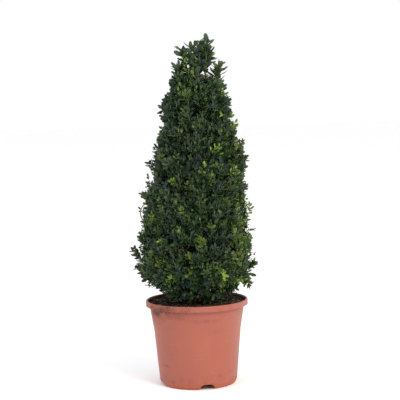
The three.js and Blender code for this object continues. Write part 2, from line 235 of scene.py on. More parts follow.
def potPlastic(look):
    # polypropylene, injection moulded in terracotta: satin, faintly mottled, scuffed and stained in use, with
    # painted sheen and painted shade; colour: two terracottas in clouds, then each wash in turn, base + mask x
    # most x (wash - base)
    material, tree, shader = newMaterial("PolypropyleneTerracotta", **{"IOR": 1.49, "Specular IOR Level": 0.3})
    add = partial(addNode, tree)
    place = add("TexCoord", {}, "Object")
    x, height = [add("SeparateXYZ", {0: place}, axis) for axis in "XZ"]
    cloudy = add("TexNoise", {"Vector": place, "Scale": 1 / (60 * mm), "Detail": 4, "Roughness": 0.55})
    warmth = add("MapRange", {0: cloudy, 1: 0.3, 2: 0.7})
    base = add("Mix", {0: warmth, 6: colour(look["body"]), 7: colour(look["warm"])}, 2, data_type="RGBA")
    # painted sheen: a greyer pink towards the lit +X side; a more orange band at the foot
    faded = add("MapRange", {0: x, 1: 0.06, 2: 0.105})
    foot = add("MapRange", {0: height, 1: 0.014, 2: 0.009})
    # nearly upright flow marks of the moulding, a few millimetres apart
    upright = add("Mapping", {"Vector": place, "Scale": (150, 150, 6)})
    flow = add("TexNoise", {"Vector": upright, "Scale": 1.0, "Detail": 2.0})
    flow = add("MapRange", {0: flow, 1: 0.45, 2: 0.75})
    # soil splashed up the wall, blotches that grow darker towards the rim, partly dirt and partly painted shade
    # under it, and stains where wet pots stood against it
    blot = add("TexNoise", {"Vector": place, "Scale": 1 / (16 * mm), "Detail": 6, "Roughness": 0.65})
    under = add("MapRange", {0: height, 1: 0.145, 2: 0.172, 4: 0.3})
    splash = add("MapRange", {0: height, 1: 0.04, 2: 0.0})
    low = add("Math", {0: under, 1: splash}, operation="ADD")
    patch = add("MapRange", {0: blot, 1: 0.5, 2: 0.75})
    dirt = add("Math", {0: patch, 1: low}, operation="MULTIPLY", use_clamp=True)
    ragged = add("MapRange", {0: blot, 1: 0.34, 2: 0.6})
    for centre, size, strength in look["stains"]:
        there = add("Mapping", {"Vector": place, "Location": centre, "Scale": size}, vector_type="TEXTURE")
        spot = add("TexGradient", {"Vector": there}, "Fac", gradient_type="SPHERICAL")
        stain = add("Math", {0: spot, 1: strength}, operation="MULTIPLY")
        dirt = add("Math", {0: stain, 1: ragged, 2: dirt}, operation="MULTIPLY_ADD", use_clamp=True)
    # painted shade inside the collar: near the axis and high up
    level = add("Mapping", {"Vector": place, "Scale": (1, 1, 0)})
    out = add("VectorMath", {0: level}, "Value", operation="LENGTH")
    near = add("Math", {0: out, 1: 0.1078}, operation="LESS_THAN")
    high = add("Math", {0: height, 1: 0.1745}, operation="GREATER_THAN")
    inside = add("Math", {0: near, 1: high}, operation="MULTIPLY")
    # long shallow scuffs from stacking, nearly level, and a few dark specks
    drawn = add("Mapping", {"Vector": place, "Rotation": (0.25, 0.15, 0.0), "Scale": (18, 18, 420)})
    streak = add("TexNoise", {"Vector": drawn, "Scale": 1.0, "Detail": 2.0})
    spread = add("TexNoise", {"Vector": place, "Scale": 1 / (45 * mm), "Detail": 2, "Roughness": 0.55})
    long, wide = add("MapRange", {0: streak, 1: 0.62, 2: 0.72}), add("MapRange", {0: spread, 1: 0.5, 2: 0.62})
    scuff = add("Math", {0: long, 1: wide}, operation="MULTIPLY")
    dots = add("TexVoronoi", {"Vector": place, "Scale": 1 / (19 * mm)})
    speck = add("MapRange", {0: dots, 1: 0.07, 2: 0.045})
    order = ("faded", "foot", "flow", "dirt", "inside", "scuff", "speck")
    for name, mask in zip(order, (faded, foot, flow, dirt, inside, scuff, speck)):
        shade, most = look[name]
        share = add("Math", {0: mask, 1: most}, operation="MULTIPLY")
        base = add("Mix", {0: share, 6: base, 7: colour(shade)}, 2, data_type="RGBA")
    tree.links.new(base, shader.inputs["Base Color"])
    # the dirt mask, with its painted shade under the rim, dulls the satin: roughness = 0.38 + 0.3 of that mask
    # + 0.16 clouds
    dull = add("Math", {0: dirt, 1: 0.3, 2: 0.38}, operation="MULTIPLY_ADD")
    dull = add("Math", {0: cloudy, 1: 0.16, 2: dull}, operation="MULTIPLY_ADD")
    tree.links.new(dull, shader.inputs["Roughness"])
    # fine spark-eroded mould texture, and the flow of the scuffs
    fine = add("TexNoise", {"Vector": place, "Scale": 1 / (1.2 * mm), "Detail": 2, "Roughness": 0.55})
    both = add("Math", {0: fine, 1: streak}, operation="ADD")
    relief = add("Math", {0: both, 1: 0.5}, operation="MULTIPLY")
    bump = add("Bump", {"Height": relief, "Strength": 0.25, "Distance": 0.15 * mm})
    tree.links.new(bump, shader.inputs["Normal"])
    return material


def peat():
    # damp peat compost: crumbly, nearly black where wet, with paler dry crumbs; each tone gives way to the
    # next over its own stretch of a cloudy pattern
    material, tree, shader = newMaterial("PeatCompost", Roughness=0.93, IOR=1.4)
    add = partial(addNode, tree)
    place = add("TexCoord", {}, "Object")
    cloudy = add("TexNoise", {"Vector": place, "Scale": 1 / (9 * mm), "Detail": 6, "Roughness": 0.7})
    tone = colour("#130e0b")
    for low, high, shade in ((0.3, 0.55, "#291d16"), (0.55, 0.8, "#4a3627")):
        share = add("MapRange", {0: cloudy, 1: low, 2: high})
        tone = add("Mix", {0: share, 6: tone, 7: colour(shade)}, 2, data_type="RGBA")
    tree.links.new(tone, shader.inputs["Base Color"])
    crumbs = add("TexNoise", {"Vector": place, "Scale": 1 / (2 * mm), "Detail": 4, "Roughness": 0.55})
    bump = add("Bump", {"Height": crumbs, "Strength": 0.8, "Distance": 1 * mm})
    tree.links.new(bump, shader.inputs["Normal"])
    return material


def boxBark():
    # boxwood bark: thin, corky and split into small plates drawn out along the stem, greyish tan with darker
    # splits; the tan is three tones in clouds, and the splits follow the edges of a cell pattern
    material, tree, shader = newMaterial("BoxwoodBark", Roughness=0.82, IOR=1.45)
    add = partial(addNode, tree)
    drawn = add("Mapping", {"Vector": add("TexCoord", {}, "Object"), "Scale": (1, 1, 0.3)})
    plates = add("TexVoronoi", {"Vector": drawn, "Scale": 1 / (2.2 * mm)}, feature="DISTANCE_TO_EDGE")
    split = add("MapRange", {0: plates, 1: 0.02, 2: 0.16})
    cloudy = add("TexNoise", {"Vector": drawn, "Scale": 1 / (7 * mm), "Detail": 5, "Roughness": 0.6})
    tone = colour("#6d5840")
    for low, high, shade in ((0.3, 0.55, "#8c7555"), (0.55, 0.78, "#a3937a")):
        share = add("MapRange", {0: cloudy, 1: low, 2: high})
        tone = add("Mix", {0: share, 6: tone, 7: colour(shade)}, 2, data_type="RGBA")
    tone = add("Mix", {0: split, 6: colour("#4a3a2a"), 7: tone}, 2, data_type="RGBA")
    tree.links.new(tone, shader.inputs["Base Color"])
    bump = add("Bump", {"Height": split, "Strength": 0.6, "Distance": 0.4 * mm})
    tree.links.new(bump, shader.inputs["Normal"])
    return material


# boxwood leaves are leathery with a waxy gloss above and matt beneath; each tone is a plain colour,
# because thousands of leaves share one mesh and the tones are dealt out by spray
leafLooks = {
    # a bluish green of the leaves' own, dealt out more towards -X as painted sky reflection
    "LeafBluish": ("#1c312f", 0.34),
    "LeafDeep": ("#1a2a1c", 0.42),
    "LeafDark": ("#1e331d", 0.44),
    "LeafGreen": ("#273f20", 0.46),
    "LeafMid": ("#385323", 0.46),
    "LeafOlive": ("#4f6022", 0.46),
    "LeafLime": ("#5f8526", 0.46),
    "LeafYoung": ("#7d993a", 0.48),
    "LeafBronze": ("#463a26", 0.55),
    "LeafBackDark": ("#40543a", 0.6),
    "LeafBackPale": ("#637838", 0.6),
}
leafTones = list(leafLooks)
waxy = {"IOR": 1.48, "Specular IOR Level": 0.36}
leafMaterials = [
    newMaterial(name, **{"Base Color": colour(shade), "Roughness": rough}, **waxy)[0]
    for name, (shade, rough) in leafLooks.items()
]
# year-old twigs are tan and ridged, this year's shoots are green
twigMaterials = [
    newMaterial("TwigWood", **{"Base Color": colour("#6f5f42"), "Roughness": 0.75})[0],
    newMaterial("TwigGreen", **{"Base Color": colour("#727c40"), "Roughness": 0.6})[0],
]
plastic = potPlastic(potFinish)
compost = peat()
bark = boxBark()
print("materials made")

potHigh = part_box("pot")[1]
potShape = {
    "height": potHigh[2],
    "rimRadius": potHigh[0],
    "collarRadius": 107 * mm,  # the opening, inside the thick rim
    "rimDepth": 12.5 * mm,
    "rimRounding": 2.8 * mm,
    "wall": 1.8 * mm,
    "neckRadius": 103.8 * mm,
    "shoulderRadius": 95.2 * mm,
    "shoulderHeight": 118 * mm,
    "cornerRadius": 86 * mm,
    "cornerHeight": 16 * mm,
    "footRadius": 78 * mm,
    "footWidth": 4 * mm,
    "centreFoot": 38 * mm,
    "baseLift": 12 * mm,
    "archWidth": 32.5 * mm,
    "archHeight": 12 * mm,
    "archTurn": math.radians(283.5),
    "holeRing": 56 * mm,
    "holeRadius": 6 * mm,
    "around": 240,
}


def stretch(a, b, count):
    # evenly spaced points of a straight piece of outline, without its last
    return np.linspace(a, b, count, endpoint=False)


def bow(centre, radius, start, end, count):
    # points of an arc of outline; angles in degrees, 0 outwards and 90 up
    angle = np.radians(np.linspace(start, end, count))
    return np.stack([centre[0] + radius * np.cos(angle), centre[1] + radius * np.sin(angle)], -1)


def archLine(turn, p):
    # height of the cut under the foot ring: a flat-topped hump, h (1 - |d|^3)^(1/2), over each drain arch
    step = math.pi / 2
    away = (turn - p["archTurn"] + step / 2) % step - step / 2
    d = np.clip(np.abs(away) * p["footRadius"] / (p["archWidth"] / 2), 0, 1)
    return p["archHeight"] * np.sqrt(1 - d**3)


def makePot(p):
    # outline carried round the axis: x = r(s) cos t, y = r(s) sin t, z = z(s), with r longer or shorter by up
    # to 0.35 % as cos 2t goes, as a pot is that has stood in a stack
    top, neck, neckOut = p["height"], p["height"] - p["rimDepth"], p["neckRadius"]
    w, r, middle, lift = p["wall"], p["rimRounding"], p["centreFoot"], p["baseLift"]
    shoulder, shoulderUp = p["shoulderRadius"], p["shoulderHeight"]
    corner, cornerUp = p["cornerRadius"], p["cornerHeight"]
    ledge = neck + w
    lipIn, lipOut = p["collarRadius"], p["rimRadius"]
    wallIn = neckOut - w
    ringIn = p["footRadius"] - p["footWidth"]
    below = np.concatenate(
        [
            stretch((0.5 * mm, 0), (middle - 1 * mm, 0), 8),
            bow((middle - 1 * mm, 1 * mm), 1 * mm, -90, 0, 4),
            stretch((middle + 1 * mm, lift - 1 * mm), (middle + 2 * mm, lift), 2),
            stretch((middle + 3 * mm, lift), (ringIn, lift), 12),
        ]
    )
    above = np.concatenate(
        [
            stretch((corner, cornerUp), (shoulder, shoulderUp), 26),
            stretch((shoulder, shoulderUp), (neckOut, neck - 1.2 * mm), 16),
            bow((neckOut + 1.2 * mm, neck - 1.2 * mm), 1.2 * mm, 180, 90, 4),
            stretch((neckOut + 2 * mm, neck), (lipOut - 1.4 * mm, neck), 4),
            bow((lipOut - 1.2 * mm, neck + 1.2 * mm), 1.2 * mm, -90, 0, 5),
            stretch((lipOut, neck + 2 * mm), (lipOut, top - r - 0.5 * mm), 6),
            bow((lipOut - r, top - r), r, 0, 90, 8),
            bow((lipIn + r, top - r), r, 90, 180, 8),
            stretch((lipIn, top - r - 0.6 * mm), (lipIn, ledge + 1 * mm), 5),
            stretch((lipIn - 0.8 * mm, ledge), (wallIn + 1 * mm, ledge), 3),
            stretch((wallIn, ledge - 1 * mm), (wallIn, neck - 2 * mm), 3),
            stretch((wallIn, neck - 2 * mm), (shoulder - w, shoulderUp), 8),
            stretch((shoulder - w, shoulderUp), (corner - w, cornerUp + w), 8),
            bow((corner - w - 4 * mm, lift + w + 4 * mm), 4 * mm, 0, -90, 4),
            stretch((ringIn, lift + w), (middle, lift + w), 6),
            stretch((middle - w, w + 1 * mm), (middle - w - 1 * mm, w), 2),
            stretch((middle - 2 * w, w), (0.5 * mm, w), 4),
        ]
    )
    turn = np.arange(p["around"]) * 2 * math.pi / p["around"]
    cut = archLine(turn, p)
    # the foot ring: up to the base inside, across its edge and up round the corner outside
    s = np.linspace(0, 1, 6)[:, None]
    inside = np.stack(np.broadcast_arrays(ringIn, mix(lift, cut, s)), -1)
    ringOut = p["footRadius"]
    edgeOut = ringOut + (corner - ringOut) * np.sqrt(np.clip(1 - (1 - cut / cornerUp) ** 2, 0, 1))
    edge = np.stack(np.broadcast_arrays(mix(ringIn, edgeOut, s[1:-1]), cut), -1)
    rise = mix(cut, cornerUp, np.linspace(0, 0.94, 9)[:, None] ** 1.5)
    swell = np.sqrt(np.clip(1 - (1 - rise / cornerUp) ** 2, 0, 1))
    bent = np.stack([ringOut + (corner - ringOut) * swell, rise], -1)
    wide = [np.repeat(part[:, None], p["around"], 1) for part in (below, above)]
    grid = np.concatenate([wide[0], inside, edge, bent, wide[1]])
    radius, height = grid[..., 0], grid[..., 1]
    oval = 1 + 0.0035 * np.cos(2 * turn + 0.6) * np.clip(height / top, 0, 1)
    skin = np.stack([radius * oval * np.cos(turn), radius * oval * np.sin(turn), height], -1)
    verts = np.concatenate([skin.reshape(-1, 3), [[0, 0, 0], [0, 0, w]]])
    return makePiece("pot_shell", verts, *closedRings(*skin.shape[:2]), [plastic])


def drillPot(pot, p):
    # four round drain holes through the raised base, on a ring between the arches: upright tubes cut out
    turn = p["archTurn"] + math.pi / 4 + np.arange(4) * math.pi / 2
    level = np.stack([np.cos(turn), np.sin(turn), np.zeros(4)], -1)[:, None] * p["holeRing"]
    paths = level + upward * np.array([[p["baseLift"] - 4 * mm], [p["baseLift"] + 6 * mm]])
    drill = makePiece("pot_drill", *tubes(paths, np.full((4, 2), p["holeRadius"]), 24), [plastic])
    cutting = pot.modifiers.new("DrainHoles", "BOOLEAN")
    cutting.object = drill
    cutting.operation = "DIFFERENCE"
    cutting.solver = "EXACT"
    shaped = pot.evaluated_get(bpy.context.evaluated_depsgraph_get())
    mesh = bpy.data.meshes.new_from_object(shaped)
    pot.modifiers.clear()
    pot.data = mesh
    mesh.set_sharp_from_angle(angle=math.radians(50))
    bpy.data.objects.remove(drill)


pot = makePot(potShape)
drillPot(pot, potShape)
keep(pot, "pot_plastic", "pot")
print("pot made")

bladeShape = {
    "stations": np.array([0.17, 0.52, 0.87]),  # along the blade, from its stalk to its notched tip
    "halfWidths": np.array([0.62, 1.0, 0.58]),
}


def bladeTemplate(p):
    # upper side: stalk, then left edge, midrib and right edge at each station, then tip; the underside
    # repeats the edges. Across (-1 to 1 at the widest), along (0 to 1) and whether it is on the midrib
    upper = [(0.0, 0.0)]
    lower = [(0.0, 0.0)]
    for y, x in zip(p["stations"], p["halfWidths"]):
        upper += [(-x, y), (0.0, y), (x, y)]
        lower += [(-x, y), (x, y)]
    upper.append((0.0, 1.0))
    lower.append((0.0, 1.0))
    n, u = len(p["stations"]), len(upper)
    quads, tris = [], [(0, 3, 2), (0, 2, 1), (u - 3, u - 2, u - 1), (u - 4, u - 3, u - 1)]
    for i in range(n - 1):
        a, b = 1 + 3 * i, 4 + 3 * i
        quads += [(a + 1, a + 2, b + 2, b + 1), (a, a + 1, b + 1, b)]
    topCount = (len(quads), len(tris))
    for i in range(n - 1):
        a, b = u + 1 + 2 * i, u + 3 + 2 * i
        quads.append((a + 1, a, b, b + 1))
    end = u + len(lower) - 1
    tris += [(u, u + 1, u + 2), (end - 1, end - 2, end)]
    return np.array(upper + lower), np.array(quads), np.array(tris), topCount


bladeFlat, bladeQuads, bladeTris, bladeTop = bladeTemplate(bladeShape)


def blades(base, along, facing, length, width, cup, arch, twist):
    # every leaf at once: its edges curl down with the square of the way across, it arches with the square
    # of the way along, and twist tilts it more towards the tip
    along = unit(along)
    facing = unit(facing - (facing * along).sum(-1, keepdims=True) * along)
    across = np.cross(along, facing)
    x, y = bladeFlat[:, 0], bladeFlat[:, 1]
    half = width[:, None] / 2
    sideways = half * x
    forward = length[:, None] * (y - 0.06 * (1 - np.abs(x)) * (y > 0.95))
    lift = -cup[:, None] * width[:, None] * x**2 - arch[:, None] * length[:, None] * y**2
    lift = lift + twist[:, None] * sideways * y
    return (
        base[:, None]
        + sideways[..., None] * across[:, None]
        + forward[..., None] * along[:, None]
        + lift[..., None] * facing[:, None]
    )


def leafPiece(name, points, tone, back):
    # all the leaves of a mass as one mesh: the blade's faces once for each leaf, the upper ones in the leaf's
    # tone and the under ones in the tone of its back
    count, each = points.shape[:2]
    step = np.arange(count)[:, None, None] * each
    quads = (bladeQuads + step).reshape(-1, 4)
    tris = (bladeTris + step).reshape(-1, 3)
    q = np.where(np.arange(len(bladeQuads)) < bladeTop[0], tone[:, None], back[:, None])
    t = np.where(np.arange(len(bladeTris)) < bladeTop[1], tone[:, None], back[:, None])
    chosen, slots = np.unique(np.concatenate([q.ravel(), t.ravel()]), return_inverse=True)
    piece = makePiece(name, points, quads, tris, [leafMaterials[i] for i in chosen], slots.reshape(-1))
    piece.data.set_sharp_from_angle(angle=math.radians(75))
    return piece

barkShape = {"plates": 3.2 * mm, "ridges": 9 * mm, "depth": 0.09, "knots": 0.07}


def middleLine(node, slices, start=None):
    # the middle of a limb: points strewn evenly over its faces, sorted along it and averaged by slices
    verts, tris = nodeMesh(node)
    share = np.array([(a, b, 9 - a - b) for a in range(10) for b in range(10 - a)]) / 9
    skin = (share @ verts[tris]).reshape(-1, 3)
    centre = skin.mean(0)
    axis = np.linalg.svd(skin - centre, full_matrices=False)[2][0]
    towards = upward if start is None else centre - start
    axis = axis * np.sign(axis @ towards)
    reach = (skin - centre) @ axis
    edges = np.linspace(reach.min(), reach.max() + 1e-6, slices + 1)
    line = np.array([skin[(reach >= lo) & (reach < hi)].mean(0) for lo, hi in zip(edges[:-1], edges[1:])])
    girth = np.median(np.linalg.norm(np.cross(skin - centre, axis), axis=1))
    return line, girth


def smoothLine(points, count):
    # a curve through the points: each coordinate a cubic of the distance travelled
    travel = np.concatenate([[0], np.cumsum(np.linalg.norm(np.diff(points, axis=0), axis=1))])
    travel = travel / travel[-1]
    order = min(3, len(points) - 1)
    fresh = np.linspace(0, 1, count)
    return np.stack([np.polyval(np.polyfit(travel, points[:, i], order), fresh) for i in range(3)], -1)


def barkTube(path, radii, sides, seed):
    # a limb whose radius is r (1 + depth (|plates| - 0.5) + knots), both smooth fields stretched along it
    across = np.arange(sides) * 2 * math.pi / sides
    travel = np.concatenate([[0], np.cumsum(np.linalg.norm(np.diff(path, axis=0), axis=1))])
    ring = radii[:, None]
    where = np.broadcast_arrays(ring * np.cos(across), ring * np.sin(across), 0.25 * travel[:, None])
    where = np.stack(where, -1)
    plates = np.abs(smoothField(where, barkShape["plates"], seed))
    knots = smoothField(where, barkShape["ridges"], seed + 1)
    relief = 1 + barkShape["depth"] * (plates - 0.5) + barkShape["knots"] * knots
    return tubes(path[None], radii[None], sides, relief[None])


trunkShape = {
    "footRadius": 9.5 * mm,
    "tipRadius": 1.5 * mm,
    "flare": 0.75,
    "flareHeight": 16 * mm,
    "lobes": 3,
    "lean": 15 * mm,
    "bow": 5 * mm,
}
trunkLow, trunkHigh = [np.array(c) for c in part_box("trunk")]


def trunkMiddle(p):
    # leans by the square of the height and sways once on the way: x = lean u^2 - bow u sin 2 pi u
    u = np.linspace(0, 1, 150)
    sway = p["bow"] * u * np.sin(2 * math.pi * u)
    return np.stack([p["lean"] * u**2 - sway, sway, mix(trunkLow[2], trunkHigh[2], u)], -1)


trunkPath = trunkMiddle(trunkShape)


def makeTrunk(p):
    # radius falls with height^0.8 and swells at the root: r (1 + flare e^(-h / flareHeight)), in three lobes
    height = trunkPath[:, 2] - trunkPath[0, 2]
    share = height / height[-1]
    plain = mix(p["footRadius"], p["tipRadius"], share**0.8)
    flare = p["flare"] * np.exp(-height / p["flareHeight"])
    lobes = flare[:, None] * (1 + 0.3 * np.cos(p["lobes"] * np.arange(28) * 2 * math.pi / 28))
    verts, quads, tris = barkTube(trunkPath, plain, 28, 5)
    rings = verts[: 150 * 28].reshape(150, 28, 3)
    rings += (rings - trunkPath[:, None]) * lobes[..., None]
    verts[: 150 * 28] = rings.reshape(-1, 3)
    verts[:, 2] = np.maximum(verts[:, 2], trunkLow[2] - 1 * mm)
    return makePiece("trunk_bark", verts, quads, tris, [bark])


keep(makeTrunk(trunkShape), "bark", "trunk")

tierNames = ["skirt", "middle", "upper", "head"]
boughEnds = {}


def makeBoughs(tier):
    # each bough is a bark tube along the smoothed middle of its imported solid, 4 mm into the trunk and 6 mm
    # into its mass, and 1.3 to 0.75 of the solid's girth thick
    parts = []
    nodes = sorted(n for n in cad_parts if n.startswith("bough_" + tier))
    for number, node in enumerate(nodes):
        line, girth = middleLine(node, 5, np.array([0, 0, nodeMesh(node)[0][:, 2].min()]))
        path = smoothLine(line, 40)
        lead, trail = path[0] - path[3], path[-1] - path[-4]
        path = np.concatenate([[path[0] + unit(lead) * 4 * mm], path, [path[-1] + unit(trail) * 6 * mm]])
        radii = np.linspace(1.3, 0.75, len(path)) * girth
        parts.append(barkTube(path, radii, 14, 11 + number))
        boughEnds[node.replace("bough_", "foliage_")] = (path[-2], unit(trail), radii[-1])
    piece = makePiece("boughs_" + tier, *joinParts(parts), [bark])
    return keep(piece, "bark", *nodes)


for tier in tierNames:
    makeBoughs(tier)
print("trunk and boughs made")

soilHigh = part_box("soil")[1]
compostShape = {
    "radius": 106.2 * mm,  # to the inside of the collar
    "level": soilHigh[2],
    "fall": 2.5 * mm,
    "depth": 14 * mm,
    "fallenLeaves": 60,
    # how many, smallest and largest in mm, length, width and height, flatness, and the plain colours' names
    "strewn": {
        "crumbs": (3000, (0.7, 2.6), (1, 0.85, 0.8), 0.8, {}),
        "bark_chips": (
            380,
            (0.5, 1.5),
            (6.5, 2.3, 1.2),
            0.6,
            {"BarkChip0": ("#5d4030", 0.85), "BarkChip1": ("#8f6c4c", 0.85), "BarkChip2": ("#3e2c22", 0.85)},
        ),
        "grains": (70, (0.5, 1.3), (1, 1, 1), 0.9, {"PerliteGrain": ("#d9d4c8", 0.9)}),
    },
}


def groundHeight(x, y, p):
    # level at the middle, falling with the square of the way out, with lumps of 25, 8 and 3 mm
    out = np.hypot(x, y) / p["radius"]
    spot = np.stack([x, y, np.zeros_like(x)], -1)
    lumps = 1.6 * smoothField(spot, 25 * mm, 1) + 1.0 * smoothField(spot, 8 * mm, 2)
    lumps = lumps + 0.5 * smoothField(spot, 3 * mm, 3)
    return p["level"] - p["fall"] * out**2 + lumps * mm * (0.35 + 0.65 * np.clip(out * 2, 0, 1))


def makeGround(p):
    # polar grid for the surface, then its edge dropped to the ledge, in to the wall and closed underneath
    around, rings = 220, 70
    turn = np.arange(around) * 2 * math.pi / around
    radius = np.linspace(0.4 * mm, p["radius"], rings)[:, None]
    x, y = radius * np.cos(turn), radius * np.sin(turn)
    top = np.stack([x, y, groundHeight(x, y, p)], -1)
    skin = [top]
    depth = p["depth"]
    for row, inward, drop in ((-1, 1, 4 * mm), (-1, 0.952, 4.4 * mm), (-1, 0.94, depth), (0, 1, depth)):
        level = np.full(around, p["level"] - drop)
        skin.append(np.stack([x[row] * inward, y[row] * inward, level], -1)[None])
    skin = np.concatenate(skin)[::-1]
    middle = [[0, 0, p["level"] - p["depth"]], [0, 0, p["level"]]]
    verts = np.concatenate([skin.reshape(-1, 3), middle])
    return makePiece("compost_bed", verts, *closedRings(len(skin), around), [compost])


def scatter(count, p, spread=0.97):
    # places strewn evenly over the round surface: the radius goes with the square root of an even chance
    radius = p["radius"] * spread * np.sqrt(random.uniform(0.02, 1, count))
    turn = random.uniform(0, 2 * math.pi, count)
    x, y = radius * np.cos(turn), radius * np.sin(turn)
    return np.stack([x, y, groundHeight(x, y, p)], -1)


def roughBodies(place, size, flatness):
    # rough eight-sided bodies: a double pyramid with each corner pushed in or out by chance
    ball = np.array([(1, 0, 0), (0, 1, 0), (-1, 0, 0), (0, -1, 0), (0, 0, 1), (0, 0, -1)], float)
    tris = np.array([(0, 1, 4), (1, 2, 4), (2, 3, 4), (3, 0, 4), (1, 0, 5), (2, 1, 5), (3, 2, 5), (0, 3, 5)])
    count = len(place)
    turn = random.uniform(0, 2 * math.pi, count)
    body = ball * random.uniform(0.6, 1.35, (count, 6, 1)) * size[:, None]
    body[..., 2] = body[..., 2] * flatness + random.uniform(-0.3, 0.3, (count, 1)) * body[..., 0]
    x = body[..., 0] * np.cos(turn)[:, None] - body[..., 1] * np.sin(turn)[:, None]
    y = body[..., 0] * np.sin(turn)[:, None] + body[..., 1] * np.cos(turn)[:, None]
    verts = np.stack([x, y, body[..., 2]], -1) + place[:, None]
    step = np.arange(count)[:, None, None] * 6
    return verts.reshape(-1, 3), np.zeros((0, 4), int), (tris + step).reshape(-1, 3)


def makeCompost(p):
    # the bed, then rough bodies strewn on it: crumbs of the same peat, bark chips nearly three times as long as
    # wide and pale round grains; and dropped leaves that lie nearly flat, dull brown or still olive
    keep(makeGround(p), "compost", "soil")
    for name, (count, sizes, form, flatness, looks) in p["strewn"].items():
        place = scatter(count, p)
        size = random.uniform(*sizes, (count, 1)) * mm * np.array(form)
        materials = [
            newMaterial(look, **{"Base Color": colour(shade), "Roughness": rough})[0]
            for look, (shade, rough) in looks.items()
        ] or [compost]
        slots = np.repeat(random.integers(0, len(materials), count), 8) if len(materials) > 1 else None
        bodies = roughBodies(place, size, flatness)
        keep(makePiece("compost_" + name, *bodies, materials, slots), "compost")
    fallen = scatter(p["fallenLeaves"], p, 0.95) + upward * 1.2 * mm
    count = len(fallen)
    turn = random.uniform(0, 2 * math.pi, count)
    along = np.stack([np.cos(turn), np.sin(turn), random.uniform(-0.1, 0.25, count)], -1)
    facing = upward + random.normal(0, 0.25, (count, 3))
    size = random.uniform(10, 16, count) * mm
    curl = random.uniform(-0.1, 0.25, count)
    points = blades(fallen, along, facing, size, size * 0.5, curl, curl * 0.5, curl)
    choices = [leafTones.index(t) for t in ("LeafBronze", "LeafOlive", "LeafMid", "LeafBronze")]
    tone = np.array(choices)[random.integers(0, 4, count)]
    keep(leafPiece("fallen_leaves", points, tone, tone), "foliage")


makeCompost(compostShape)
print("compost made")

growth = {
    "areaPerShoot": 108 * mm * mm,  # clipped outer surface for each leafy shoot
    "innerShare": 0.55,  # shaded shoots behind them, for each outer one
    "footGaps": 0.75,  # share of the shoots that is missing right at the crown's foot
    "topGaps": 0.55,  # and between the tips at its top
    "shootLength": (38 * mm, 58 * mm),
    "tipInset": 9 * mm,
    "tipUneven": 2.8 * mm,
    "clumpSize": 42 * mm,  # shoots stand in clumps that swell and sink together
    "clumpSwell": 5 * mm,
    "strayShare": 0.14,  # shoots that have outgrown the last clipping
    "strayReach": (6 * mm, 12 * mm),
    "pairs": 6,
    "firstPair": 0.38,  # share of the shoot that is bare
    "leafLength": (10.5 * mm, 14.5 * mm),
    "topLonger": 1.28,  # leaves near the top are longer than at the foot
    "leafShape": (0.42, 0.55),  # width over length
    "spread": 56,  # degrees between a leaf and its shoot
    "twigsPerBough": 5,
    "shootsPerTwig": 6,
}
crownFoot = min(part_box(n)[0][2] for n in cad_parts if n.startswith("foliage_"))
crownTop = max(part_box(n)[1][2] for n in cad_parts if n.startswith("tip_"))


def spacedOut(points, count):
    # numbers of `count` points, each the farthest from the ones before it
    chosen = np.zeros(count, int)
    gap = np.full(len(points), np.inf)
    for k in range(1, count):
        gap = np.minimum(gap, np.linalg.norm(points - points[chosen[k - 1]], axis=1))
        chosen[k] = gap.argmax()
    return chosen


def gather(points, count, towards, pull):
    # groups the points round evenly spaced members and gives each group's middle, pulled to a place
    seeds = points[spacedOut(points, count)]
    group = np.linalg.norm(points[:, None] - seeds[None], axis=-1).argmin(1)
    middles = np.array([points[group == i].mean(0) for i in range(count)])
    return group, mix(middles, towards, pull)


def radial(points):
    # level direction away from the plant's axis
    return unit(points * np.array([1, 1, 0]))


def heightShare(points):
    # 0 at the crown's foot, 1 at its top
    return np.clip((points[..., 2] - crownFoot) / (crownTop - crownFoot), 0, 1)


def surfacePoints(node, density, seams=0.0):
    # points strewn over a solid's outward triangles by area, thinned until they stand apart; its borders
    # with its neighbours get the share `seams` of that
    verts, tris = nodeMesh(node)
    corners = verts[tris]
    normals = np.cross(corners[:, 1] - corners[:, 0], corners[:, 2] - corners[:, 0])
    area = np.linalg.norm(normals, axis=1) / 2
    normals = unit(normals)
    middle = corners.mean(1)
    outward = (normals * radial(middle)).sum(-1) > 0.3
    lid = (normals[:, 2] > 0.6) & (heightShare(middle) > 0.78)
    weight = area * np.maximum(outward | lid, seams)
    take = int(weight.sum() / density)
    pick = random.choice(len(tris), take * 3, p=weight / weight.sum())
    a, b = np.sqrt(random.uniform(size=(len(pick), 1))), random.uniform(size=(len(pick), 1))
    c = corners[pick]
    points = (1 - a) * c[:, 0] + a * (1 - b) * c[:, 1] + a * b * c[:, 2]
    chosen = spacedOut(points, take)
    return points[chosen], normals[pick][chosen]


